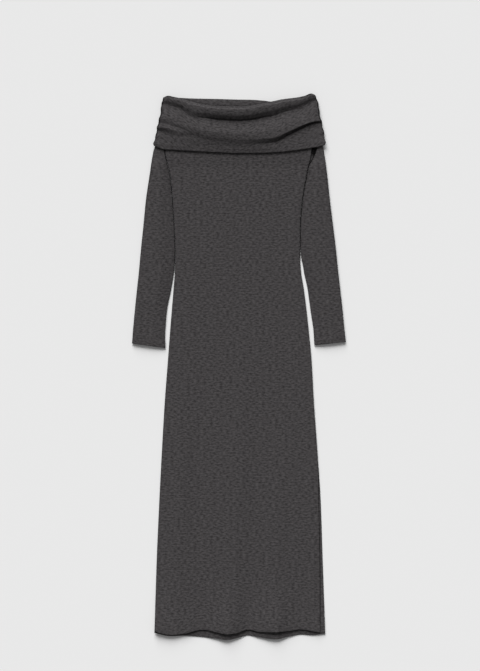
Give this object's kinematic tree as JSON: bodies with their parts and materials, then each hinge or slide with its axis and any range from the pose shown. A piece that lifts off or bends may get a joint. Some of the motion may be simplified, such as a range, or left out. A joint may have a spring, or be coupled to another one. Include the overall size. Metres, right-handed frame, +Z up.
{
  "type": "off-shoulder knit dress",
  "caption": "Long off-shoulder knit dress laid flat, with a wide folded collar gathered at its sides, long narrow sleeves, a slightly nipped waist and a side slit.",
  "frame": {"origin": "middle of the dress's outline on the surface that it lies on", "axes": "+X to the viewer's right, +Y towards the neck, +Z up out of the front of the dress"},
  "size_m": [0.5235, 1.3377, 0.022],
  "materials": {
    "charcoal_knit": "fine ribbed melange knit, matt, charcoal grey"
  },
  "bodies": {
    "root": {"body_front": "charcoal_knit", "body_back": "charcoal_knit", "sleeve_left": "charcoal_knit", "sleeve_right": "charcoal_knit", "collar_front": "charcoal_knit", "collar_back": "charcoal_knit"}
  },
  "joints": []
}
